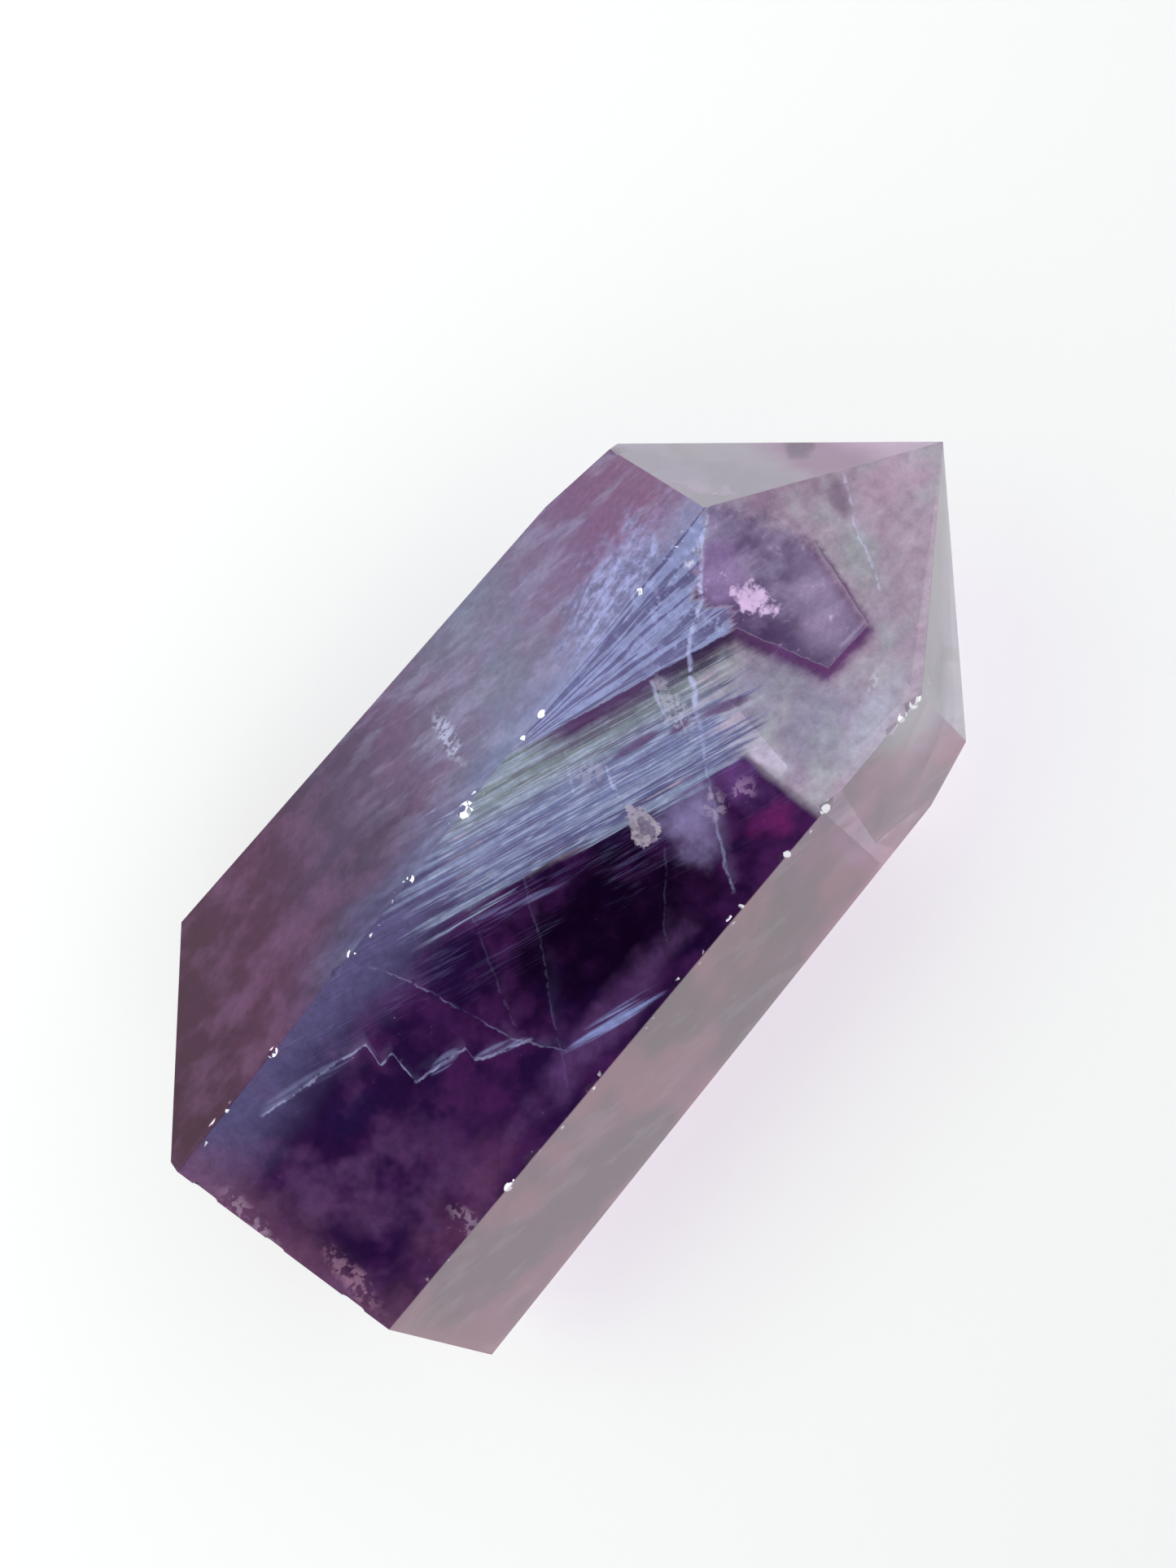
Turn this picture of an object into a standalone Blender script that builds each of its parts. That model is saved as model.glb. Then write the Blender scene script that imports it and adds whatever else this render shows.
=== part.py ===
"""Polished fluorite point, lying on its back face.

A six-sided body with a ground base at one end and a six-facet tip at the other.
The broad front face looks up, the tip points along +X, and the floor is at Z = 0.
Units are metres; the corner places below are in millimetres, measured from the
base end along the body, across it, and up from the face that it lies on.
"""

import bmesh
import bpy
from mathutils import Vector

MM = 0.001

# Driving dimensions, in millimetres
THICKNESS = 33.0
BLOCK_SIZE = 140.0
EDGE_BEVEL = 0.22
SHARPEST_KEPT_ANGLE = 0.3
MERGE_DISTANCE = 0.02

# Corners of the point, in millimetres: along the body, across it, up
FRONT = THICKNESS
CORNERS = {
    "base_front_left": (0.0, 5.8, FRONT),
    "base_front_right": (0.8, -14.5, FRONT),
    "shoulder_front_left": (65.1, 6.4, FRONT),
    "shoulder_front_right": (64.4, -15.6, FRONT),
    "shoulder_left": (65.7, 17.0, 17.0),
    "shoulder_right": (64.9, -21.6, 23.0),
    "apex": (81.1, -4.7, FRONT - 2.5),
    "body_left_low": (12.1, 19.5, 12.5),
    "body_right_low": (11.6, -23.5, 18.4),
    "body_right_high": (59.3, -22.9, 20.6),
    "back_left": (40.0, 9.5, 0.0),
    "back_right": (40.0, -13.0, 0.0),
    "tip_back_left": (58.5, 7.7, 0.0),
    "tip_back_right": (55.0, -12.2, 0.0),
    "base_back": (0.6, -8.0, 0.0),
    "corner_cut_front": (-0.2, 6.5, 31.9),
    "corner_cut_back": (3.5, 10.5, 0.0),
    "right_nip_back": (62.5, -18.5, 13.0),
    "left_nip_front": (64.8, 16.2, 18.2),
    "left_nip_tip": (66.3, 15.9, 16.9),
    "left_nip_back": (64.6, 16.2, 15.4),
}

# Each ground facet is the plane through three corners, in the order of grinding
FACETS = {
    "front face": ("base_front_left", "base_front_right", "shoulder_front_left"),
    "left face": ("base_front_left", "shoulder_front_left", "shoulder_left"),
    "right face": ("base_front_right", "shoulder_front_right", "shoulder_right"),
    "left back face": ("shoulder_left", "body_left_low", "back_left"),
    "right back face": ("body_right_high", "body_right_low", "back_right"),
    "base": ("base_front_left", "base_front_right", "base_back"),
    "front tip facet": ("shoulder_front_left", "shoulder_front_right", "apex"),
    "left tip facet": ("shoulder_front_left", "shoulder_left", "apex"),
    "right tip facet": ("shoulder_front_right", "shoulder_right", "apex"),
    "left back tip facet": ("shoulder_left", "tip_back_left", "apex"),
    "right back tip facet": ("shoulder_right", "tip_back_right", "apex"),
    "back tip facet": ("tip_back_left", "tip_back_right", "apex"),
    "cut base corner": ("corner_cut_front", "body_left_low", "corner_cut_back"),
    "right shoulder nip": ("body_right_high", "shoulder_right", "right_nip_back"),
    "left shoulder nip": ("left_nip_front", "left_nip_tip", "left_nip_back"),
}

# Chips knocked off the edges: the edge's two corners, how far along it, and the size
EDGE_CHIPS = [
    ("base_front_left", "shoulder_front_left", 0.69, 1.2),
    ("base_front_left", "shoulder_front_left", 0.545, 1.8),
    ("base_front_left", "shoulder_front_left", 0.44, 1.1),
    ("base_front_left", "shoulder_front_left", 0.30, 1.2),
    ("base_front_left", "shoulder_front_left", 0.18, 1.0),
    ("base_front_right", "shoulder_front_right", 0.985, 1.5),
    ("base_front_right", "shoulder_front_right", 0.945, 1.1),
    ("base_front_right", "shoulder_front_right", 0.825, 1.4),
    ("base_front_right", "shoulder_front_right", 0.745, 1.2),
    ("base_front_right", "shoulder_front_right", 0.38, 1.1),
    ("base_front_right", "shoulder_front_right", 0.27, 1.6),
    ("shoulder_front_left", "shoulder_left", 0.86, 1.3),
    ("base_front_left", "base_front_right", 0.13, 1.9),
    ("base_front_left", "base_front_right", 0.46, 1.4),
    ("base_front_left", "base_front_right", 0.83, 1.7),
]
CHIP_SINK = 0.62


def corner(name):
    """Gives a named corner's place in metres."""
    return Vector(CORNERS[name]) * MM


def heart():
    """Gives a place well inside the body, which every facet faces away from."""
    return Vector((40.0, -2.0, THICKNESS / 2)) * MM


def clear_scene():
    """Removes whatever the scene holds at the start."""
    for thing in list(bpy.data.objects):
        bpy.data.objects.remove(thing, do_unlink=True)


def make_collection(name):
    """Adds a collection to the scene."""
    collection = bpy.data.collections.new(name)
    bpy.context.scene.collection.children.link(collection)
    return collection


def make_fluorite_material():
    """Clear violet fluorite with a high polish."""
    material = bpy.data.materials.new("violet_fluorite")
    material.use_nodes = True
    shader = material.node_tree.nodes["Principled BSDF"]
    shader.inputs["Base Color"].default_value = (0.20, 0.12, 0.30, 1.0)
    shader.inputs["Roughness"].default_value = 0.06
    shader.inputs["Metallic"].default_value = 0.0
    shader.inputs["IOR"].default_value = 1.434
    shader.inputs["Transmission Weight"].default_value = 0.6
    return material


def grind(mesh, corner_names):
    """Grinds one flat facet: what lies outside the plane through three corners goes."""
    first, second, third = [corner(name) for name in corner_names]
    normal = (second - first).cross(third - first).normalized()
    if normal.dot(first - heart()) < 0.0:
        normal.negate()
    everything = mesh.verts[:] + mesh.edges[:] + mesh.faces[:]
    cut = bmesh.ops.bisect_plane(
        mesh, geom=everything, plane_co=first, plane_no=normal, clear_outer=True
    )
    rim = [part for part in cut["geom_cut"] if isinstance(part, bmesh.types.BMEdge)]
    bmesh.ops.contextual_create(mesh, geom=rim)
    bmesh.ops.remove_doubles(mesh, verts=mesh.verts[:], dist=MERGE_DISTANCE * MM)


def bevel_edges(mesh):
    """Takes the sharpness off every edge between two facets, as polishing does."""
    edges = [edge for edge in mesh.edges if edge.calc_face_angle(0.0) > SHARPEST_KEPT_ANGLE]
    bmesh.ops.bevel(
        mesh,
        geom=edges,
        offset=EDGE_BEVEL * MM,
        offset_type="OFFSET",
        segments=2,
        profile=0.5,
        affect="EDGES",
        clamp_overlap=True,
    )


def make_point(collection, material):
    """Grinds the point out of a block, facet by facet."""
    mesh = bmesh.new()
    bmesh.ops.create_cube(mesh, size=BLOCK_SIZE * MM)
    block_place = Vector((heart().x, 0.0, BLOCK_SIZE / 2 * MM))
    bmesh.ops.translate(mesh, verts=mesh.verts[:], vec=block_place)
    for corner_names in FACETS.values():
        grind(mesh, corner_names)
    bevel_edges(mesh)
    bmesh.ops.recalc_face_normals(mesh, faces=mesh.faces[:])
    data = bpy.data.meshes.new("fluorite_point")
    mesh.to_mesh(data)
    mesh.free()
    data.materials.append(material)
    point = bpy.data.objects.new("fluorite_point", data)
    collection.objects.link(point)
    return point


def make_chip_cutters(collection):
    """Makes one lump for each chip, sunk into its edge from outside."""
    mesh = bmesh.new()
    for start, end, share, size in EDGE_CHIPS:
        place = corner(start).lerp(corner(end), share)
        outward = (place - heart()) - (place - heart()).project(corner(end) - corner(start))
        place = place + outward.normalized() * size * CHIP_SINK * MM
        lump = bmesh.ops.create_icosphere(mesh, subdivisions=1, radius=size * MM)
        bmesh.ops.translate(mesh, verts=lump["verts"], vec=place)
    data = bpy.data.meshes.new("edge_chip_cutters")
    mesh.to_mesh(data)
    mesh.free()
    cutters = bpy.data.objects.new("edge_chip_cutters", data)
    cutters.hide_render = True
    cutters.display_type = "WIRE"
    collection.objects.link(cutters)
    return cutters


def chip_edges(point, cutters):
    """Knocks the chips off the point's edges."""
    chipping = point.modifiers.new("edge chips", "BOOLEAN")
    chipping.operation = "DIFFERENCE"
    chipping.object = cutters
    chipping.solver = "EXACT"


def centre_on_origin(things, point):
    """Puts the middle of the point's footprint on the origin."""
    places = [vertex.co for vertex in point.data.vertices]
    middle_x = (min(place.x for place in places) + max(place.x for place in places)) / 2
    middle_y = (min(place.y for place in places) + max(place.y for place in places)) / 2
    for thing in things:
        thing.location = (-middle_x, -middle_y, 0.0)


def main():
    clear_scene()
    model = make_collection("Fluorite point")
    tools = make_collection("Cutters")
    point = make_point(model, make_fluorite_material())
    cutters = make_chip_cutters(tools)
    chip_edges(point, cutters)
    centre_on_origin([point, cutters], point)


main()
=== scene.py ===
import math
import random

import bmesh
import bpy
from mathutils import Euler, Matrix, Vector


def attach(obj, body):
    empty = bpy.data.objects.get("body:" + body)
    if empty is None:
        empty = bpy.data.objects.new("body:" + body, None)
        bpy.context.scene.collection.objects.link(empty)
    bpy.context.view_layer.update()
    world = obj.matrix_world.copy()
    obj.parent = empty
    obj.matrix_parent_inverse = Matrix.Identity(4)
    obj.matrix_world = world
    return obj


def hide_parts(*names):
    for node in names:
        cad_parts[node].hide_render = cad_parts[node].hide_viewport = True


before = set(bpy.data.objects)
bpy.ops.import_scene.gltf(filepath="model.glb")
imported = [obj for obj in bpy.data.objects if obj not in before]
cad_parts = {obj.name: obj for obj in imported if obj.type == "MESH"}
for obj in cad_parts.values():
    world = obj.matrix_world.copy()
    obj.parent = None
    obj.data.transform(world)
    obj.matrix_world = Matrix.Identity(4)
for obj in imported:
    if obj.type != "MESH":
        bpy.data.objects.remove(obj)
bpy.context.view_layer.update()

# Camera. The point was photographed from straight above its broad front face, with
# the tip towards the upper right of the picture, from about twenty centimetres away.
FRONT_HEIGHT = 0.033
CAMERA_ABOVE_FRONT = 0.190
CAMERA_PLACE = (0.00248, 0.00205, FRONT_HEIGHT + CAMERA_ABOVE_FRONT)
CAMERA_ROLL = math.radians(-51.0)
CAMERA_LENS = 56.8

bpy.ops.object.camera_add(location=CAMERA_PLACE, rotation=(0.0, 0.0, CAMERA_ROLL))
camera = bpy.context.object
camera.data.lens = CAMERA_LENS
bpy.context.scene.camera = camera

# Light. A pale room that is dark straight overhead, which keeps the polished face deep
# in colour, and one large soft lamp from the upper left of the picture.
ROOM_LOW = (0.93, 0.95, 0.97, 1.0)
ROOM_HIGH = (0.07, 0.07, 0.09, 1.0)
ROOM_STRENGTH = 0.84
ROOM_DARK_FROM = 0.78
ROOM_DARK_AT = 0.95
LAMP_PLACE = (-0.12, 0.30, 0.52)
LAMP_SIZE = 0.34
LAMP_POWER = 3.0


class Ink:
    """One output of a node. Python's signs add Math nodes, and add() adds any other."""

    def __init__(self, tree, socket=None):
        self.tree = tree
        self.socket = socket

    def add(self, kind, settings=None, inputs=None, output=0):
        node = self.tree.nodes.new(kind)
        for name, value in (settings or {}).items():
            if name == "stops":
                self.set_stops(node.color_ramp, value)
            else:
                setattr(node, name, value)
        for name, value in (inputs or {}).items():
            if isinstance(value, Ink):
                self.tree.links.new(value.socket, node.inputs[name])
            else:
                node.inputs[name].default_value = value
        return Ink(self.tree, node.outputs[output] if node.outputs else None)

    def set_stops(self, ramp, stops):
        while len(ramp.elements) < len(stops):
            ramp.elements.new(1.0)
        for element, (place, shade) in zip(ramp.elements, stops):
            element.position = place
            element.color = shade

    def math(self, operation, *values):
        return self.add("ShaderNodeMath", {"operation": operation}, dict(enumerate(values)))

    def __add__(self, other):
        return self.math("ADD", self, other)

    def __sub__(self, other):
        return self.math("SUBTRACT", self, other)

    def __mul__(self, other):
        return self.math("MULTIPLY", self, other)

    def __rsub__(self, other):
        return self.math("SUBTRACT", other, self)

    __radd__ = __add__
    __rmul__ = __mul__

    def ramp(self, low, high):
        """Runs smoothly from 0 at low to 1 at high."""
        return self.add(
            "ShaderNodeMapRange",
            {"interpolation_type": "SMOOTHSTEP"},
            {"Value": self, "From Min": low, "From Max": high},
        )

    def moved(self, mask, value):
        """Moves this number to another one where the mask is 1."""
        return self.add("ShaderNodeMix", {"data_type": "FLOAT"}, {0: mask, 2: self, 3: value})

    def lit(self, factor):
        """Makes this colour lighter or darker."""
        settings = {"data_type": "RGBA", "clamp_factor": False}
        return self.add("ShaderNodeMix", settings, {0: 1.0 - factor, 6: self, 7: (0.0, 0.0, 0.0, 1.0)}, 2)

    def dyed(self, mask, colour):
        """Turns this colour into another one where the mask is 1."""
        return self.add("ShaderNodeMix", {"data_type": "RGBA"}, {0: mask, 6: self, 7: colour}, 2)


scene = bpy.context.scene
world = bpy.data.worlds.new("pale_room")
scene.world = world
world.use_nodes = True
world.node_tree.nodes.clear()
room = Ink(world.node_tree)
world_output = world.node_tree.nodes.new("ShaderNodeOutputWorld")
sight = room.add("ShaderNodeTexCoord", output=0)
height = room.add("ShaderNodeSeparateXYZ", {}, {0: sight}, 2)
overhead = height.ramp(ROOM_DARK_FROM, ROOM_DARK_AT)
room_colour = room.add("ShaderNodeMix", {"data_type": "RGBA"}, {0: overhead, 6: ROOM_LOW, 7: ROOM_HIGH}, 2)
room_light = room.add("ShaderNodeBackground", {}, {"Color": room_colour, "Strength": ROOM_STRENGTH})
world.node_tree.links.new(room_light.socket, world_output.inputs["Surface"])

bpy.ops.object.light_add(type="AREA", location=LAMP_PLACE)
lamp = bpy.context.object
lamp.data.size = LAMP_SIZE
lamp.data.energy = LAMP_POWER
lamp.rotation_euler = (-Vector(LAMP_PLACE)).to_track_quat("-Z", "Y").to_euler()

scene.view_settings.view_transform = "Standard"
scene.cycles.transparent_max_bounces = 48

# Floor. A plain pale board that the point lies on, larger than any view of it needs.
# It is a matt, fine-grained board, set a hair below the stone.
FLOOR_SIZE = 6.0
FLOOR_DROP = 0.0001
FLOOR_GRAIN = 900.0
FLOOR_BUMP = 0.0002


def shade(code):
    """Gives the linear colour of a six-digit screen colour."""
    parts = [int(code[start : start + 2], 16) / 255 for start in (0, 2, 4)]
    linear = [part / 12.92 if part < 0.04 else ((part + 0.055) / 1.055) ** 2.4 for part in parts]
    return (*linear, 1.0)


def new_material(name):
    """Gives a material with an empty tree, the start of its ink and its output node."""
    material = bpy.data.materials.new(name)
    material.use_nodes = True
    tree = material.node_tree
    tree.nodes.clear()
    output = tree.nodes.new("ShaderNodeOutputMaterial")
    return material, Ink(tree), output


FLOOR_COLOUR = shade("e8e9e7")
bpy.ops.mesh.primitive_plane_add(size=FLOOR_SIZE, location=(0.0, 0.0, -FLOOR_DROP))
floor = bpy.context.object
floor.name = "floor"
bpy.ops.object.transform_apply(location=True, rotation=True, scale=True)
floor_material, ink, output = new_material("pale_board")
floor_place = ink.add("ShaderNodeTexCoord", output=3)
floor_grain = ink.add("ShaderNodeTexNoise", {}, {"Vector": floor_place, "Scale": FLOOR_GRAIN})
floor_bump = ink.add("ShaderNodeBump", {}, {"Strength": 0.06, "Distance": FLOOR_BUMP, "Height": floor_grain})
floor_finish = ink.add(
    "ShaderNodeBsdfPrincipled", {}, {"Base Color": FLOOR_COLOUR, "Roughness": 0.75, "Normal": floor_bump}
)
floor_material.node_tree.links.new(floor_finish.socket, output.inputs["Surface"])
floor.data.materials.append(floor_material)

# The stone. One piece of clear to deep violet fluorite, ground flat facet by facet and
# polished to a high gloss; its colour lies in growth zones that run through the body.
MM = 0.001
MERGE_DISTANCE = 0.01 * MM
FLAT_ANGLE = math.radians(0.6)
FLUORITE_IOR = 1.434
POLISH_ROUGHNESS = 0.035
ABSORPTION_COLOUR = (0.55, 0.38, 0.58, 1.0)
ABSORPTION_DENSITY = 16.0

# Places on the stone, in millimetres in its own frame: along it and across it
BASE_LEFT = (-40.5, 7.75)
BASE_RIGHT = (-39.7, -12.45)
SHOULDER_LEFT = (24.6, 8.45)
SHOULDER_RIGHT = (23.9, -13.55)
SHOULDER_LEFT_LOW = (25.2, 19.05)
SHOULDER_RIGHT_LOW = (24.4, -19.55)
TIP = (40.58, -2.65)
ZONE_WAY = (0.927, -0.375)
BAND_START = (2.0, 7.5)
BAND_BEND = (18.9, 0.7)
BAND_LOW = (21.0, -6.7)
BAND_NOSE = (25.6, -7.0)
BAND_TOP = (28.2, 1.0)
BAND_END = (27.2, 4.6)
FAN_START = (0.0, 8.3)

# Each crack: the places that it passes, its width, and how clearly it shows
LONG_CRACK = [(24.3, 8.0), (21.6, 6.4), (18.6, 4.0), (15.2, 2.5), (12.3, -0.9)]
LONG_CRACK_END = [(12.3, -0.9), (8.5, -4.9), (5.0, -9.3), (3.1, -11.8)]
MIDDLE_CRACK = [(-10.6, 3.1), (-12.9, -0.5), (-15.5, -5.4)]
CROSS_CRACK = [(-5.9, 1.8), (-8.6, -1.9), (-11.0, -4.8), (-14.2, -8.6), (-16.9, -11.6)]
SHORT_CRACK = [(2.5, -5.7), (-0.4, -7.8), (-3.2, -10.3)]
WAVY_CRACK = [(-19.0, 6.1), (-17.8, 2.9), (-17.3, -0.9), (-16.4, -5.5), (-14.6, -9.4)]
ZIGZAG = [(-33.0, 5.5), (-27.0, 3.7), (-23.7, 2.8), (-24.4, 0.8), (-23.1, 0.7), (-23.6, -2.1)]
ZIGZAG_END = [(-23.6, -2.1), (-19.2, -3.4), (-19.5, -4.5), (-15.5, -6.9)]
RUNG_CRACK = [(11.7, 3.3), (10.9, 1.9), (9.8, 0.3)]
TIP_CRACK = [(33.6, 1.8), (31.9, -0.4), (30.8, -1.7), (29.8, -3.7), (28.3, -6.0)]
CRACK_LINES = [
    (LONG_CRACK, 0.30, 0.60),
    (LONG_CRACK_END, 0.22, 0.24),
    (MIDDLE_CRACK, 0.14, 0.04),
    (CROSS_CRACK, 0.14, 0.05),
    (SHORT_CRACK, 0.12, 0.04),
    (WAVY_CRACK, 0.12, 0.18),
    (ZIGZAG, 0.20, 0.38),
    (ZIGZAG_END, 0.18, 0.32),
    (RUNG_CRACK, 0.26, 0.40),
    ([(3.2, 5.1), (2.4, 3.9), (1.2, 2.5)], 0.20, 0.45),
    ([(4.4, 1.9), (3.9, 0.9), (3.1, -0.5)], 0.20, 0.40),
    (TIP_CRACK, 0.16, 0.45),
]

# Each chip: the edge that it broke from, how far along that edge, and its size
LEFT_EDGE = (BASE_LEFT, SHOULDER_LEFT)
RIGHT_EDGE = (BASE_RIGHT, SHOULDER_RIGHT)
CHIPS = [
    (LEFT_EDGE, 0.69, 0.4),
    (LEFT_EDGE, 0.545, 0.8),
    (LEFT_EDGE, 0.44, 0.45),
    (LEFT_EDGE, 0.33, 0.5),
    (LEFT_EDGE, 0.18, 0.5),
    (RIGHT_EDGE, 0.99, 0.7),
    (RIGHT_EDGE, 0.965, 0.5),
    (RIGHT_EDGE, 0.82, 0.5),
    (RIGHT_EDGE, 0.745, 0.6),
    (RIGHT_EDGE, 0.58, 0.5),
    (RIGHT_EDGE, 0.38, 0.5),
    (RIGHT_EDGE, 0.225, 0.5),
]

bpy.ops.object.select_all(action="DESELECT")
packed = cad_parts["fluorite_point"]
stone = bpy.data.objects.new("polished_stone", packed.data.copy())
scene.collection.objects.link(stone)
stone.select_set(True)
bpy.context.view_layer.objects.active = stone
stone.data.materials.clear()
bpy.ops.object.mode_set(mode="EDIT")
bpy.ops.mesh.select_all(action="SELECT")
bpy.ops.mesh.remove_doubles(threshold=MERGE_DISTANCE)
bpy.ops.mesh.dissolve_limited(angle_limit=FLAT_ANGLE)
bpy.ops.object.mode_set(mode="OBJECT")

stone_material, ink, output = new_material("violet_fluorite")
spot = ink.add("ShaderNodeTexCoord", output=3)
in_mm = ink.add("ShaderNodeMapping", {}, {"Vector": spot, "Scale": (1.0 / MM, 1.0 / MM, 1.0 / MM)})
x = ink.add("ShaderNodeSeparateXYZ", {}, {0: in_mm}, 0)
y = ink.add("ShaderNodeSeparateXYZ", {}, {0: in_mm}, 1)
z = ink.add("ShaderNodeSeparateXYZ", {}, {0: in_mm}, 2)


def towards(way):
    """Gives how far a place lies from the middle of the stone in one direction."""
    return ink.add("ShaderNodeVectorMath", {"operation": "DOT_PRODUCT"}, {0: in_mm, 1: way}, 1)


def left_of(start, end):
    """Gives how far a place lies to the left of the line from start to end."""
    run = (Vector(end) - Vector(start)).normalized()
    return towards((-run.y, run.x, 0.0)) - run.cross(Vector(start))


def right_of(start, end):
    """Gives how far a place lies to the right of the line from start to end."""
    return left_of(end, start)


def grain(place, stretch, detail, rough=0.5):
    """Gives cloudy grain, finer where a direction's stretch is larger."""
    sized = ink.add("ShaderNodeMapping", {}, {"Vector": place, "Scale": stretch})
    settings = {"Vector": sized, "Scale": 1.0, "Detail": detail, "Roughness": rough}
    return ink.add("ShaderNodeTexNoise", {}, settings)


def thread(field, width):
    """Gives thin bright threads where a field passes through its middle value."""
    return ink.math("ABSOLUTE", field - 0.5).ramp(width, width * 0.2)


def blend(mask, low, high):
    """Mixes two screen colours by a mask."""
    return ink.add("ShaderNodeMix", {"data_type": "RGBA"}, {0: mask, 6: shade(low), 7: shade(high)}, 2)


along = towards((ZONE_WAY[0], ZONE_WAY[1], 0.0))
across = towards((-ZONE_WAY[1], ZONE_WAY[0], 0.0))
zone_turn = -math.atan2(ZONE_WAY[1], ZONE_WAY[0])
in_zone = ink.add("ShaderNodeMapping", {}, {"Vector": in_mm, "Rotation": (0.0, 0.0, zone_turn)})
cloud = grain(in_mm, (0.11, 0.11, 0.11), 2.0)
drift = grain(in_mm, (0.2, 0.2, 0.2), 3.0, 0.6)
mottle = grain(in_mm, (0.45, 0.45, 0.45), 3.0)
tooth = grain(in_mm, (1.2, 1.2, 1.2), 3.0, 0.7)
wisp = grain(in_zone, (0.12, 0.6, 0.3), 3.0, 0.6)
strand = grain(in_zone, (0.09, 1.9, 0.3), 3.0, 0.6)
fine_strand = grain(in_zone, (0.12, 3.4, 0.3), 2.0)
flakes = ink.add("ShaderNodeTexVoronoi", {}, {"Vector": in_mm, "Scale": 2.3}, 1)
wave = (cloud - 0.5) * 3.0 + (mottle - 0.5) * 1.8
near_front = z.ramp(24.0, 30.0)
turned_places = {0: in_mm}


def patch(middle, reach, turn=0.0, rough=1.4, core=0.25):
    """Is 1 in the core of an oval and falls to 0 at its rough rim; turn is in degrees, to the nearest ten."""
    turn = round(turn / 10) * 10 % 180
    if turn not in turned_places:
        way = {"Vector": in_mm, "Angle": math.radians(-turn)}
        turned_places[turn] = ink.add("ShaderNodeVectorRotate", {"rotation_type": "Z_AXIS"}, way)
    centre = Matrix.Rotation(math.radians(-turn), 2) @ Vector(middle)
    size = (1.0 / reach[0], 1.0 / reach[1], 0.0)
    shift = (-centre.x / reach[0], -centre.y / reach[1], 0.0)
    place = ink.add(
        "ShaderNodeVectorMath", {"operation": "MULTIPLY_ADD"}, {0: turned_places[turn], 1: size, 2: shift}
    )
    far = ink.add("ShaderNodeVectorMath", {"operation": "DOT_PRODUCT"}, {0: place, 1: place}, 1)
    return ink.math("MULTIPLY_ADD", mottle, rough, far).ramp(1.0 + rough / 2, core + rough / 2)


def streak(start, end, width):
    """Is 1 along a straight streak from start to end, with soft sides and ends."""
    middle = [(a + b) / 2 for a, b in zip(start, end)]
    turn = math.degrees(math.atan2(end[1] - start[1], end[0] - start[0]))
    return patch(middle, (math.dist(start, end) / 2, width / 2), turn, 0.5)


# The colourless body, greyish and rosy in clouds, with a painted glow by its right edge near the shoulder
colour = blend((mottle * 0.5 + drift * 0.5).ramp(0.42, 0.60), "c4b4c5", "bcc2c6")
colour = colour.dyed(cloud.ramp(0.48, 0.64) * 0.7, shade("c9acc4"))
colour = colour.dyed(wisp.ramp(0.52, 0.70) * 0.35, shade("dcd8e0"))
colour = colour.dyed(patch((29.5, 5.2), (4.5, 2.5), -30.0, 1.6, -0.4) * 0.7, shade("a97ea6"))
colour = colour.dyed(patch((37.0, -1.6), (4.0, 3.0), -20.0, 1.2, -0.3) * 0.7, shade("dcbcd6"))
colour = colour.dyed(patch((17.5, -4.6), (5.5, 5.0), 0.0, 1.6, -0.4) * 0.6, shade("a4a6c4"))
colour = colour.dyed(patch((17.0, -9.0), (5.5, 3.4), 10.0, 1.4, -0.6) * 0.6, shade("a9b2d0"))
# A painted glow: pale blue-white light along the front face's right edge near the shoulder
colour = colour.dyed(patch((19.6, -12.0), (6.5, 1.9), 13.0, 1.4, -0.4), shade("dadef0"))
milk = 0.42 + (mottle - 0.5) * 0.3

# The deep violet zone that fills the base end, nearly black in its middle
violet = ink.math("MAXIMUM", (across + wave * 0.4).ramp(0.0, -1.4), (along + wave).ramp(-8.0, -12.0))
violet = violet * (x + wave * 0.3).ramp(12.6, 11.2)
violet_colour = blend((drift * 0.7 + mottle * 0.3).ramp(0.42, 0.60), "200b33", "3a1745")
VIOLET_PATCHES = [
    ((-30.0, -11.4), (10.0, 3.5), 8.0, 1.6, -0.6, 0.65, "5e3655"),
    ((-34.5, -4.0), (7.5, 2.6), -60.0, 2.0, -0.6, 0.5, "5a3a5c"),
    ((-4.5, -6.2), (13.5, 8.5), -22.0, 1.2, -0.1, 1.0, "0d0118"),
    ((-28.4, 0.6), (3.4, 2.6), 30.0, 1.8, -0.3, 0.8, "1c1038"),
    ((5.6, -5.4), (4.9, 3.2), 65.0, 1.6, -0.2, 0.95, "7b6e98"),
    ((10.0, -6.8), (2.2, 3.6), 0.0, 1.8, -0.5, 0.85, "64407a"),
    ((-11.0, -10.6), (13.0, 2.2), 0.0, 2.0, -0.5, 0.5, "6f4a80"),
]
from_left_edge = right_of(*LEFT_EDGE)
violet_colour = violet_colour.dyed((from_left_edge + wave).ramp(6.5, 0.5) * 0.85, shade("555075"))
for middle, reach, turn, rough, core, depth, code in VIOLET_PATCHES:
    violet_colour = violet_colour.dyed(patch(middle, reach, turn, rough, core) * depth, shade(code))
violet_colour = violet_colour.dyed((x + wave).ramp(-35.5, -40.5) * 0.7, shade("704a66"))
lilac_threads = thread(fine_strand, 0.05) * wisp.ramp(0.44, 0.60)
violet_colour = violet_colour.dyed(lilac_threads * across.ramp(-9.0, -3.0) * 0.16, shade("7a76ae"))
violet_colour = violet_colour.dyed(drift.ramp(0.42, 0.66) * x.ramp(-20.0, -32.0) * 0.4, shade("5f4668"))
colour = colour.dyed(violet, violet_colour)
milk = milk.moved(violet, 0.84)

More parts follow.
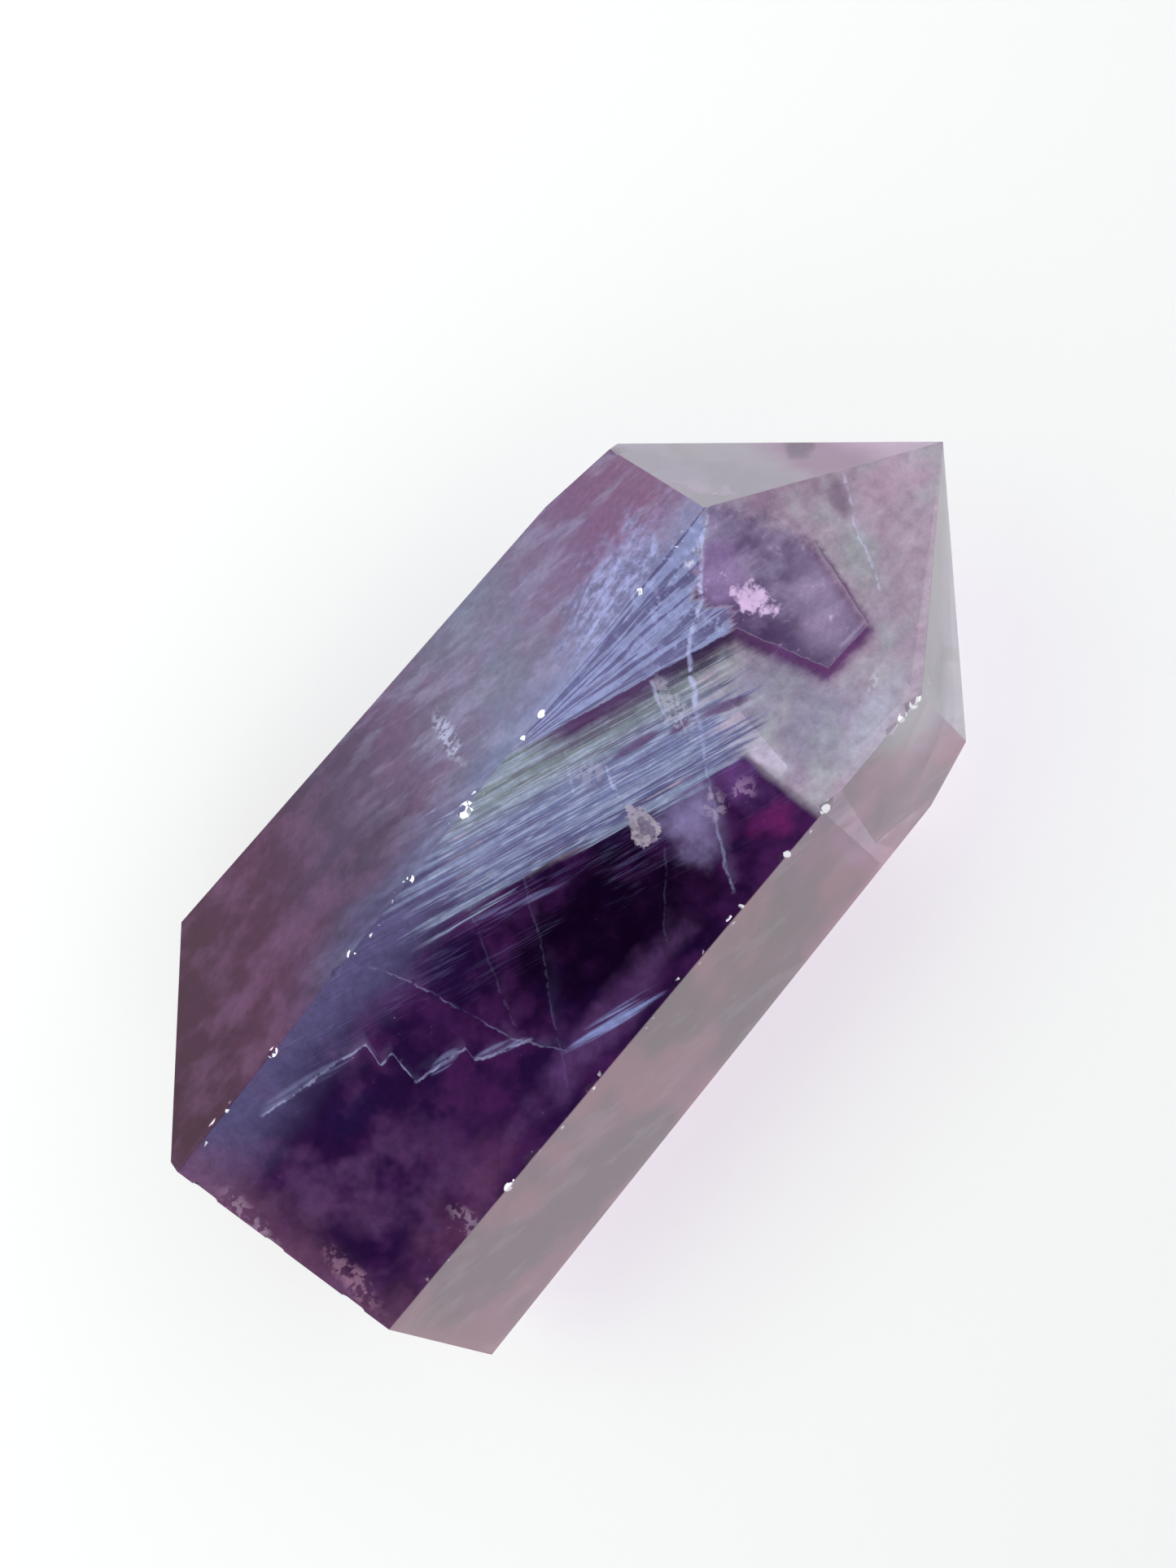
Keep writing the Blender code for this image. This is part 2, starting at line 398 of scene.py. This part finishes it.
# The slanting zone of silky strands, greenish grey to blue, frayed at its edges
silky = (across + (strand - 0.5) * 5.0).ramp(-1.6, -0.9) * across.ramp(8.3, 7.6)
silky = silky * (along + (strand - 0.5) * 22.0).ramp(17.5, 11.5)
silky = silky * (along + (strand - 0.5) * 20.0).ramp(-16.0, -9.0)
silk_colour = blend((across + wave * 0.4).ramp(2.6, 6.0), "6a7199", "747f80")
silk_colour = silk_colour.dyed(across.ramp(2.6, -0.8) * 0.55, shade("48466f"))
silk_colour = silk_colour.dyed(strand.ramp(0.49, 0.38) * 0.5, shade("504466"))
silk_colour = silk_colour.dyed(strand.ramp(0.48, 0.62) * 0.6, shade("95a1bb"))
silk_colour = silk_colour.dyed(thread(fine_strand, 0.045) * 0.4, shade("bcc6de"))
colour = colour.dyed(silky, silk_colour)
milk = milk.moved(silky, 0.74)

# The feathery blue zone above it, whose strands fan out from one point
fan_x = x - FAN_START[0]
fan_y = y - FAN_START[1]
fan_angle = ink.math("ARCTAN2", fan_y, fan_x)
fan_reach = ink.math("SQRT", fan_x * fan_x + fan_y * fan_y)
fan_grain = {"Vector": in_mm, "W": fan_angle * 240.0, "Scale": 0.14, "Detail": 2.0, "Roughness": 0.6}
feather_strand = ink.add("ShaderNodeTexNoise", {"noise_dimensions": "4D"}, fan_grain)
before_crack = right_of(LONG_CRACK[0], LONG_CRACK[3])
crack_side = before_crack + across.ramp(11.8, 8.2) * 3.4 + (strand - 0.5) * 3.0
feather = across.ramp(7.5, 7.9) * (along + wave * 0.5).ramp(-7.0, 1.0) * crack_side.ramp(-0.2, 0.4)
feather_colour = blend(feather_strand.ramp(0.40, 0.60), "5e5c84", "9098c2")
feather_colour = feather_colour.dyed(thread(feather_strand, 0.03) * 0.3, shade("b8c2e4"))
feather_tufts = tooth.ramp(0.52, 0.66) * fan_reach.ramp(10.0, 18.0)
feather_colour = feather_colour.dyed(feather_tufts * 0.4, shade("a9b2d8"))
colour = colour.dyed(feather, feather_colour)
milk = milk.moved(feather, 0.72)

# The violet growth band with its sharp inner side, and the lilac zone that it bounds,
# which fades out towards the tip
second_side = right_of(BAND_BEND, BAND_LOW)
shake = (tooth - 0.5) * 0.5
low_side = ink.math("MINIMUM", right_of(BAND_START, BAND_BEND), second_side)
low_side = ink.math("MAXIMUM", low_side, right_of(BAND_LOW, BAND_NOSE) * 1.4) + shake
far_side = right_of(BAND_NOSE, BAND_TOP) + shake
top_side = right_of(BAND_TOP, BAND_END) + shake * 4.0
inside = low_side.ramp(0.05, -0.12) * far_side.ramp(0.6, -0.5) * top_side.ramp(1.4, -1.6)
inside = inside * crack_side.ramp(0.4, -0.3)
inside_colour = blend((mottle * 0.5 + wisp * 0.5).ramp(0.38, 0.62), "615373", "8c7f9d")
dark_side = second_side.ramp(-4.0, -0.6) * x.ramp(24.0, 20.0)
inside_colour = inside_colour.dyed(dark_side * 0.7, shade("3f2b52"))
inside_colour = inside_colour.dyed(patch((24.7, -3.0), (4.8, 3.0), 50.0, 1.4, -0.6) * 0.7, shade("a996b6"))
inside_colour = inside_colour.dyed(patch((21.5, 4.2), (3.0, 2.6), 60.0, 2.0) * 0.6, shade("957bac"))
pink_blob = (patch((21.6, 1.5), (3.8, 1.6), 98.0, 2.4, -0.4) + (tooth - 0.5) * 2.4).ramp(0.30, 0.85)
inside_colour = inside_colour.dyed(pink_blob * 0.95, shade("d6bae0"))
inner_rim = low_side.ramp(-0.9, -0.6) * low_side.ramp(-0.2, -0.5) * x.ramp(21.8, 24.0)
inside_colour = inside_colour.dyed(inner_rim * 0.6, shade("ab9cbb"))
inside_colour = inside_colour.dyed(far_side.ramp(-1.2, -0.1) * 0.5, shade("6a3c66"))
colour = colour.dyed(inside, inside_colour)
milk = milk.moved(inside, 0.74)
pale_line = low_side.ramp(2.4, 2.8) * low_side.ramp(3.8, 3.0)
pale_line = pale_line * left_of((18.5, -0.5), (20.5, -9.5)).ramp(-0.5, 0.5)
colour = colour.dyed(pale_line * far_side.ramp(4.0, 3.0) * 0.4, shade("b9bcc6"))
beyond = ink.math("MAXIMUM", low_side, far_side * 2.5)
band = beyond.ramp(-0.12, 0.05) * (beyond + (strand - 0.5) * 0.8).ramp(2.2, 0.4)
band = band * along.ramp(-2.0, 3.0) * y.ramp(7.9, 7.4) * top_side.ramp(0.6, -1.2) * far_side.ramp(0.9, -0.4)
band_colour = blend(along.ramp(7.0, 13.0), "472853", "281037").dyed(along.ramp(15.0, 20.0), shade("4d2158"))
colour = colour.dyed(band * 0.95, band_colour)
milk = milk.moved(band, 0.86)

# Small marks just under the front face
PLUM_STREAKS = [
    ((11.6, -1.2), (15.8, -3.5), 1.0),
    ((4.8, 1.9), (9.6, 0.2), 0.9),
    ((9.2, -0.2), (11.6, -1.2), 0.7),
]
for start, end, width in PLUM_STREAKS:
    colour = colour.dyed(streak(start, end, width) * near_front * 0.8, shade("573c62"))
PALE_STREAKS = [
    ((-15.2, -9.5), (-5.6, -12.6), 0.9, 0.7, "8c9ace"),
    ((-12.5, -9.6), (-5.6, -12.0), 0.5, 0.6, "8c9ace"),
    ((-33.5, 5.8), (-24.4, 2.9), 1.3, 0.26, "8a90be"),
    ((-22.6, -2.4), (-19.4, -3.2), 1.2, 0.4, "8a90be"),
    ((-19.6, -4.4), (-15.4, -6.6), 1.0, 0.4, "8a90be"),
    ((-12.4, 2.6), (-3.6, -1.6), 0.8, 0.35, "8084b4"),
]
for start, end, width, depth, code in PALE_STREAKS:
    frayed = streak(start, end, width) * (fine_strand * 0.5 + strand * 0.5).ramp(0.42, 0.56)
    colour = colour.dyed(frayed * near_front * depth, shade(code))
FRONT_PATCHES = [
    ((32.0, 1.1), (2.5, 1.0), 55.0, 1.6, -0.5, 0.75, "6d4a74"),
    ((9.2, -10.8), (2.5, 1.7), -20.0, 2.4, -0.8, 0.85, "6d2260"),
    ((12.8, -7.4), (2.4, 0.85), -75.0, 1.2, 0.1, 1.0, "d3cfe2"),
]
for middle, reach, turn, rough, core, depth, code in FRONT_PATCHES:
    colour = colour.dyed(patch(middle, reach, turn, rough, core) * near_front * depth, shade(code))
beige = (patch((2.5, -3.4), (2.6, 1.4), 75.0, 2.4, -0.2) + (tooth - 0.5) * 1.6).ramp(0.35, 0.55) * near_front
colour = colour.dyed(beige * 0.75, blend((flakes * 0.6 + tooth * 0.4).ramp(0.35, 0.6), "82778f", "b0a6b4"))
BROKEN_PATCHES = [
    ((11.1, 0.4), (3.4, 1.3), 73.0, 0.55, "b9b6c6"),
    ((3.0, 2.4), (1.6, 1.4), 20.0, 0.4, "a9a4b8"),
    ((7.4, -6.6), (1.6, 1.2), 40.0, 0.45, "a795a8"),
    ((9.8, -7.6), (1.4, 1.2), 20.0, 0.5, "a183a8"),
    ((21.4, 6.9), (1.6, 0.5), 12.0, 0.85, "d9d8ea"),
    ((19.7, 4.9), (0.8, 0.4), 70.0, 0.8, "d9d8ea"),
    ((22.6, -10.0), (1.6, 0.5), 16.0, 0.8, "e4e6f0"),
    ((18.7, 12.0), (0.9, 0.45), 30.0, 0.85, "d9d8ea"),
    ((10.9, 9.5), (0.9, 0.7), 80.0, 0.7, "d9d8ea"),
    ((-40.2, 0.6), (1.2, 4.6), -10.0, 0.32, "b3a0b2"),
    ((-38.4, -8.0), (1.2, 4.0), -10.0, 0.32, "b78ba2"),
    ((-29.4, -11.4), (0.9, 2.4), -12.0, 0.3, "b3a0b2"),
]
for middle, reach, turn, depth, code in BROKEN_PATCHES:
    broken = patch(middle, reach, turn, 2.0, 0.0) * (flakes * 0.35 + tooth * 0.65).ramp(0.47, 0.53)
    colour = colour.dyed(broken * near_front * depth, shade(code))

# Healed cracks, which show as ragged hairlines, each with a faint veil on one side
LINE_REACH = 12.0
ragged = shake + (mottle - 0.5) * 0.9 + LINE_REACH / 2
hair_grain = tooth.ramp(0.34, 0.52)
veil_grain = mottle.ramp(0.42, 0.64) * 0.25
healed = None
for route, width, strength in CRACK_LINES:
    start, end = Vector(route[0]), Vector(route[-1])
    run = (end - start).normalized()
    length = (end - start).length
    stops = []
    for place in route:
        step = Vector(place) - start
        level = run.cross(step) / LINE_REACH + 0.5
        stops.append((step.dot(run) / length, (level, level, level, level)))
    down = towards((run.x / length, run.y / length, 0.0)) - start.dot(run) / length
    line = ink.add("ShaderNodeValToRGB", {"stops": stops}, {"Fac": down}, 1)
    off = ink.math("MULTIPLY_ADD", line, -LINE_REACH, left_of(start, end) + ragged)
    hairline = ink.math("ABSOLUTE", off).ramp(width, width * 0.2) * hair_grain
    veil = off.ramp(-0.1, 0.05) * off.ramp(1.4, 0.0) * veil_grain
    ends = ink.math("ABSOLUTE", down - 0.5).ramp(0.53, 0.47)
    mark = ink.math("MAXIMUM", hairline, veil) * ends * strength
    healed = ink.math("MAXIMUM", mark, healed) if healed else mark
healed = healed * near_front * mottle.ramp(0.3, 0.5)
colour = colour.dyed(healed, shade("b6bce4"))
milk = milk.moved(healed, 0.9)

# The left body face: plum and grey clouds, with the feathery zone reaching over its edge
LEFT_STOPS = [
    (0.0, "30071f"),
    (0.26, "3f1436"),
    (0.40, "3a2846"),
    (0.52, "564060"),
    (0.68, "666880"),
    (0.86, "6a496e"),
    (1.0, "744f6e"),
]
on_left = left_of(*LEFT_EDGE).ramp(-0.06, 0.10)
left_places = towards((1.0 / 68.0, -0.5 / 68.0, 0.0)) + wave * 0.038 + 0.705
left_stops = [(place, shade(code)) for place, code in LEFT_STOPS]
left_colour = ink.add("ShaderNodeValToRGB", {"stops": left_stops}, {"Fac": left_places})
left_colour = left_colour.dyed(drift.ramp(0.40, 0.68) * 0.4, shade("6f4a70"))
left_colour = left_colour.dyed(patch((-10.8, 12.2), (5.5, 2.6), 8.0, 1.6, -0.6) * 0.7, shade("2b1a36"))
left_glow = (left_of(*LEFT_EDGE) + wave * 0.6).ramp(3.6, 0.3) * (x + wave).ramp(-29.0, -17.0)
glow_colour = blend((x * 0.02 + wisp).ramp(0.0, 0.7), "3c3a62", "7c88ac")
left_colour = left_colour.dyed(left_glow * 0.65, glow_colour)
left_colour = left_colour.dyed(wisp.ramp(0.46, 0.66) * x.ramp(-16.0, 0.0) * 0.5, shade("837f9c"))
plume_colour = blend((feather_strand * 0.4 + mottle * 0.3 + tooth * 0.3).ramp(0.42, 0.58), "63638a", "979dcb")
left_colour = left_colour.dyed(patch((16.0, 9.8), (8.2, 4.4), 12.0, 2.4, -0.1) * 0.85, plume_colour)
crackle = patch((-1.6, 13.1), (3.0, 1.0), 69.0, 2.4, -0.2) * (flakes * 0.4 + tooth * 0.6).ramp(0.46, 0.52)
left_colour = left_colour.dyed(crackle * 0.75, shade("a9adc8"))
colour = colour.dyed(on_left, left_colour)
milk = milk.moved(on_left, x.ramp(-8.0, -24.0) * 0.1 + 0.84)

colour = colour.lit(tooth * 0.9 + 0.55)

# The right body face: mauve to grey in clouds, its paint lightened as a whole as painted light that makes up
# for the lamp not reaching this face, and palest at its tip end, where a near-white painted glow lies along
# the front edge
on_right = right_of(*RIGHT_EDGE).ramp(-0.06, 0.10)
# The face's own mauve and grey, lightened to stand in for light that the lamp does not give this face
right_colour_and_painted_light = blend((cloud * 0.75 + drift * 0.25).ramp(0.42, 0.58), "b8a7af", "d3aebb")
right_colour_and_painted_light = right_colour_and_painted_light.dyed(wisp.ramp(0.50, 0.70) * 0.3, shade("d9ccd6"))
# A painted glow: near-white light along the front edge at the tip end of this face
right_painted_glow = x.ramp(16.0, 22.0) * right_of(*RIGHT_EDGE).ramp(4.5, 0.5)
right_colour_and_painted_light = right_colour_and_painted_light.dyed(right_painted_glow * 0.8, shade("f4f4f8"))
colour = colour.dyed(on_right, right_colour_and_painted_light)
milk = milk.moved(on_right, 0.58)

# The tip facets, almost clear
past_left = left_of(SHOULDER_LEFT, TIP).ramp(-0.06, 0.10)
past_left = past_left * right_of(SHOULDER_LEFT, SHOULDER_LEFT_LOW).ramp(-0.06, 0.10)
tip_left_colour = blend((x + wave).ramp(31.0, 34.0), "beb9c2", "b294ae")
tip_left_colour = tip_left_colour.dyed((x + wave * 0.5).ramp(35.0, 38.0) * 0.8, shade("d8c2da"))
tip_left_colour = tip_left_colour.dyed(patch((34.2, 6.0), (2.0, 1.3), 20.0) * 0.7, shade("625e68"))
colour = colour.dyed(past_left, tip_left_colour)
milk = milk.moved(past_left, 0.48)
past_right = right_of(SHOULDER_RIGHT, TIP).ramp(-0.06, 0.10)
past_right = past_right * left_of(SHOULDER_RIGHT, SHOULDER_RIGHT_LOW).ramp(-0.06, 0.10)
colour = colour.dyed(past_right, blend(cloud.ramp(0.42, 0.58), "e8e3e8", "efebef"))
milk = milk.moved(past_right, 0.5)

# Chips on the front edges, white where the polish is gone
chipped = None
for (start, end), share, size in CHIPS:
    middle = Vector(start).lerp(Vector(end), share)
    chip = patch(middle, (size, size * 0.7), 0.0, 1.2, 0.6)
    chipped = ink.math("MAXIMUM", chip, chipped) if chipped else chip
to_left_edge = ink.math("ABSOLUTE", left_of(*LEFT_EDGE))
to_right_edge = ink.math("ABSOLUTE", left_of(*RIGHT_EDGE))
to_edge = ink.math("MINIMUM", to_left_edge, to_right_edge)
specks = to_edge.ramp(0.45, 0.25) * flakes.ramp(0.80, 0.82) * mottle.ramp(0.53, 0.58)
chipped = ink.math("MAXIMUM", specks, chipped * flakes.ramp(0.48, 0.50)) * z.ramp(30.6, 31.6)
colour = colour.dyed(chipped, shade("f1f0f4"))
milk = milk.moved(chipped, 0.95)

polish = ink.add("ShaderNodeBump", {}, {"Strength": 0.10, "Distance": 0.0004, "Height": cloud})
gloss = {"Roughness": chipped * 0.5 + POLISH_ROUGHNESS, "IOR": FLUORITE_IOR, "Normal": polish}
glass_colour = colour.dyed(0.5, shade("ffffff"))
glass = ink.add(
    "ShaderNodeBsdfPrincipled", {}, {"Base Color": glass_colour, "Transmission Weight": 1.0, **gloss}
)
milky = ink.add("ShaderNodeBsdfPrincipled", {}, {"Base Color": colour, "Specular IOR Level": 0.15, **gloss})
body = ink.add("ShaderNodeMixShader", {}, {0: milk, 1: glass, 2: milky})
lamp_light = ink.add("ShaderNodeBsdfTransparent", {}, {"Color": (0.92, 0.90, 0.94, 1.0)})
is_shadow = ink.add("ShaderNodeLightPath", output="Is Shadow Ray")
surface = ink.add("ShaderNodeMixShader", {}, {0: is_shadow, 1: body, 2: lamp_light})
stone_material.node_tree.links.new(surface.socket, output.inputs["Surface"])
absorption = ink.add(
    "ShaderNodeVolumeAbsorption", {}, {"Color": ABSORPTION_COLOUR, "Density": ABSORPTION_DENSITY}
)
stone_material.node_tree.links.new(absorption.socket, output.inputs["Volume"])
stone.data.materials.append(stone_material)
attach(stone, "root")
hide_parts("fluorite_point")

# The violet growth zone. The deep violet part of the stone, seen through its polished
# faces; it begins at a flat growth plane, and its heart is nearly black.
ZONE_SIZE = (0.975, 0.965, 0.955)
ZONE_PLANE = Vector((0.0, -0.0012, 0.0))
ZONE_END = Vector((0.0115, 0.0, 0.0))
ZONE_TINT = (0.46, 0.32, 0.56, 1.0)
PALE_ZONE_TINT = (0.60, 0.42, 0.68, 1.0)
HEART_PLACE = (-0.006, -0.0045, 0.0175)
HEART_SIZES = [(0.026, 0.013, 0.019), (0.020, 0.0095, 0.014), (0.013, 0.006, 0.009)]
HEART_TURN = math.radians(-22.0)
HEART_ROUNDING = 0.34
HEART_TINT = (0.34, 0.16, 0.46, 1.0)
PALE_HEART_TINT = (0.50, 0.28, 0.60, 1.0)

bpy.ops.object.select_all(action="DESELECT")
zone = bpy.data.objects.new("violet_zone", stone.data.copy())
scene.collection.objects.link(zone)
zone.select_set(True)
bpy.context.view_layer.objects.active = zone
zone.data.materials.clear()
bpy.ops.object.mode_set(mode="EDIT")
bpy.ops.mesh.select_all(action="SELECT")
bpy.ops.transform.resize(value=ZONE_SIZE, center_override=HEART_PLACE)
bpy.ops.mesh.bisect(
    plane_co=ZONE_PLANE, plane_no=(-ZONE_WAY[1], ZONE_WAY[0], 0.0), use_fill=True, clear_outer=True
)
bpy.ops.mesh.select_all(action="SELECT")
bpy.ops.mesh.bisect(plane_co=ZONE_END, plane_no=(1.0, 0.05, 0.0), use_fill=True, clear_outer=True)
bpy.ops.mesh.select_all(action="SELECT")
bpy.ops.mesh.normals_make_consistent(inside=False)
bpy.ops.object.mode_set(mode="OBJECT")
zone_material, ink, output = new_material("violet_zone_tint")
zone_spot = ink.add("ShaderNodeTexCoord", output=3)
zone_cloud = ink.add("ShaderNodeTexNoise", {}, {"Vector": zone_spot, "Scale": 130.0, "Detail": 4.0})
zone_tint = ink.add("ShaderNodeBsdfTransparent", {}, {"Color": ZONE_TINT})
pale_tint = ink.add("ShaderNodeBsdfTransparent", {}, {"Color": PALE_ZONE_TINT})
zone_mask = zone_cloud.ramp(0.35, 0.65)
zone_filter = ink.add("ShaderNodeMixShader", {}, {0: zone_mask, 1: zone_tint, 2: pale_tint})
zone_material.node_tree.links.new(zone_filter.socket, output.inputs["Surface"])
zone.data.materials.append(zone_material)
zone.visible_shadow = False
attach(zone, "root")

heart_material, ink, output = new_material("violet_heart_tint")
heart_spot = ink.add("ShaderNodeTexCoord", output=3)
heart_cloud = ink.add("ShaderNodeTexNoise", {}, {"Vector": heart_spot, "Scale": 160.0, "Detail": 4.0})
heart_tint = ink.add("ShaderNodeBsdfTransparent", {}, {"Color": HEART_TINT})
pale_tint = ink.add("ShaderNodeBsdfTransparent", {}, {"Color": PALE_HEART_TINT})
heart_mask = heart_cloud.ramp(0.35, 0.65)
heart_filter = ink.add("ShaderNodeMixShader", {}, {0: heart_mask, 1: heart_tint, 2: pale_tint})
heart_material.node_tree.links.new(heart_filter.socket, output.inputs["Surface"])
for number, size in enumerate(HEART_SIZES):
    bpy.ops.object.select_all(action="DESELECT")
    bpy.ops.mesh.primitive_cube_add(size=1.0, location=HEART_PLACE, rotation=(0.0, 0.0, HEART_TURN))
    heart = bpy.context.object
    heart.name = f"violet_heart_{number + 1}"
    heart.scale = size
    bpy.ops.object.transform_apply(location=True, rotation=True, scale=True)
    bpy.ops.object.mode_set(mode="EDIT")
    bpy.ops.mesh.select_all(action="SELECT")
    bpy.ops.mesh.bevel(offset=min(size) * HEART_ROUNDING, segments=3, affect="EDGES")
    bpy.ops.object.mode_set(mode="OBJECT")
    heart.data.materials.append(heart_material)
    heart.visible_shadow = False
    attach(heart, "root")

# Healed cracks. Thin pale sheets just inside the stone, where a crack grew together
# again; each hangs down from under the front face along the line that shows there.
CRACK_TOP = 32.7 * MM
CRACK_LEAN = 0.25
SHEET_START = 0.01
SHEET_WAVE = 0.25
CRACK_SHEETS = {
    "long_crack": (3.4, [(23.6, 7.6), *LONG_CRACK[1:], *LONG_CRACK_END[1:3], (3.6, -11.6)]),
    "middle_crack": (2.6, MIDDLE_CRACK),
    "cross_crack": (3.0, [*CROSS_CRACK[:4], (-16.7, -11.2)]),
    "short_crack": (2.6, SHORT_CRACK),
    "wavy_crack": (2.4, WAVY_CRACK),
    "zigzag_crack": (2.4, ZIGZAG + ZIGZAG_END[1:]),
    "edge_crack": (2.4, [(-14.4, -9.8), (-10.4, -11.0), (-6.4, -11.6)]),
    "rung_crack": (1.8, RUNG_CRACK),
    "tip_crack": (2.4, [(32.0, 0.4), *TIP_CRACK[1:]]),
}

crack_material, ink, output = new_material("healed_crack")
crack_spot = ink.add("ShaderNodeTexCoord", output=3)
crack_grain = ink.add("ShaderNodeTexNoise", {}, {"Vector": crack_spot, "Scale": 900.0, "Detail": 5.0})
crack_veil = ink.add(
    "ShaderNodeBsdfPrincipled",
    {},
    {"Base Color": shade("908cc0"), "Roughness": 0.4, "Alpha": crack_grain.ramp(0.46, 0.66) * 0.16},
)
crack_material.node_tree.links.new(crack_veil.socket, output.inputs["Surface"])
for number, (name, (depth, route)) in enumerate(CRACK_SHEETS.items()):
    bpy.ops.object.select_all(action="DESELECT")
    places = [Vector((px, py, 0.0)) * MM for px, py in route]
    bpy.ops.mesh.primitive_plane_add(
        size=depth * MM,
        location=places[0] + Vector((0.0, 0.0, CRACK_TOP - depth * MM / 2)),
        rotation=(math.pi / 2, 0.0, 0.0),
    )
    sheet = bpy.context.object
    sheet.name = name
    bpy.ops.object.transform_apply(location=True, rotation=True, scale=True)
    bpy.ops.object.mode_set(mode="EDIT")
    bpy.ops.mesh.select_all(action="SELECT")
    bpy.ops.transform.resize(value=(SHEET_START, 1.0, 1.0), center_override=places[0])
    mesh = bmesh.from_edit_mesh(sheet.data)
    for vertex in mesh.verts:
        vertex.select = vertex.co.x > places[0].x
        vertex.co.y += (CRACK_TOP - vertex.co.z) * CRACK_LEAN
    mesh.select_flush(False)
    mesh.select_flush(True)
    bmesh.update_edit_mesh(sheet.data)
    for here, there in zip(places, places[1:]):
        bpy.ops.mesh.extrude_region_move(TRANSFORM_OT_translate={"value": there - here})
    bpy.ops.mesh.select_all(action="SELECT")
    bpy.ops.mesh.subdivide(number_cuts=3, fractal=SHEET_WAVE, seed=number)
    bpy.ops.object.mode_set(mode="OBJECT")
    sheet.data.materials.append(crack_material)
    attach(sheet, "root")

# Silky blades. Slender pale blades lie side by side in the slanting zone, just under the
# front face, and in the zone above it they fan out from one point.
BLADE_COUNT = 200
FEATHER_COUNT = 150
BLADE_HEIGHTS = (30.2, 32.2)
BLADE_LENGTHS = (2.5, 9.0)
BLADE_WIDTHS = (0.12, 0.42)
BLADE_ALONG = (-10.0, 14.0)
BLADE_ACROSS = (-0.4, 7.0)
BLADE_TURN = -22.0
FEATHER_LENGTHS = (3.0, 8.0)
FEATHER_TURNS = (-21.0, 0.0)
FEATHER_REACHES = (5.0, 18.0)
chance = random.Random(7)

blade_material, ink, output = new_material("silky_blade")
blade_middle = ink.add("ShaderNodeTexCoord", output=2)
blade_ends = {0: blade_middle, 1: (0.5, 0.5, 0.0)}
off_middle = ink.add("ShaderNodeVectorMath", {"operation": "DISTANCE"}, blade_ends, 1)
blade_spot = ink.add("ShaderNodeTexCoord", output=3)
blade_grain = ink.add("ShaderNodeTexNoise", {}, {"Vector": blade_spot, "Scale": 700.0, "Detail": 3.0})
blade_alpha = off_middle.ramp(0.5, 0.25) * blade_grain.ramp(0.35, 0.55) * 0.8
blade_veil = ink.add(
    "ShaderNodeBsdfPrincipled", {}, {"Base Color": shade("b4bbdc"), "Roughness": 0.35, "Alpha": blade_alpha}
)
blade_material.node_tree.links.new(blade_veil.socket, output.inputs["Surface"])
bpy.ops.object.select_all(action="DESELECT")
bpy.ops.mesh.primitive_circle_add(vertices=10, radius=0.5, fill_type="TRIFAN")
first_blade = bpy.context.object
first_blade.data.materials.append(blade_material)


def set_blade(number, place, turn, length, width):
    """Copies the first blade to a place, in millimetres, turned and sized."""
    blade = bpy.data.objects.new(f"blade_{number}", first_blade.data.copy())
    scene.collection.objects.link(blade)
    tilt = Euler((chance.uniform(0.3, 1.0), chance.uniform(-0.04, 0.04), math.radians(turn)))
    size = Matrix.Diagonal((length * MM, width * MM, 1.0, 1.0))
    blade.data.transform(Matrix.Translation(Vector(place) * MM) @ tilt.to_matrix().to_4x4() @ size)
    blade.select_set(True)
    return blade


blades = []
for number in range(BLADE_COUNT):
    along_place = chance.uniform(*BLADE_ALONG)
    across_place = chance.uniform(*BLADE_ACROSS)
    place = (
        along_place * ZONE_WAY[0] - across_place * ZONE_WAY[1],
        along_place * ZONE_WAY[1] + across_place * ZONE_WAY[0],
        chance.uniform(*BLADE_HEIGHTS),
    )
    turn = BLADE_TURN + chance.gauss(0.0, 1.0)
    length = chance.uniform(*BLADE_LENGTHS)
    width = chance.uniform(*BLADE_WIDTHS)
    blades.append(set_blade(number, place, turn, length, width))
for number in range(FEATHER_COUNT):
    turn = chance.uniform(*FEATHER_TURNS)
    reach = chance.uniform(*FEATHER_REACHES)
    place = (
        FAN_START[0] + reach * math.cos(math.radians(turn)),
        FAN_START[1] + reach * math.sin(math.radians(turn)),
        chance.uniform(*BLADE_HEIGHTS),
    )
    length = chance.uniform(*FEATHER_LENGTHS)
    width = chance.uniform(*BLADE_WIDTHS)
    blades.append(set_blade(BLADE_COUNT + number, place, turn, length, width))
bpy.data.objects.remove(first_blade)
bpy.context.view_layer.objects.active = blades[0]
bpy.ops.object.join()
blades[0].name = "silky_blades"
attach(blades[0], "root")
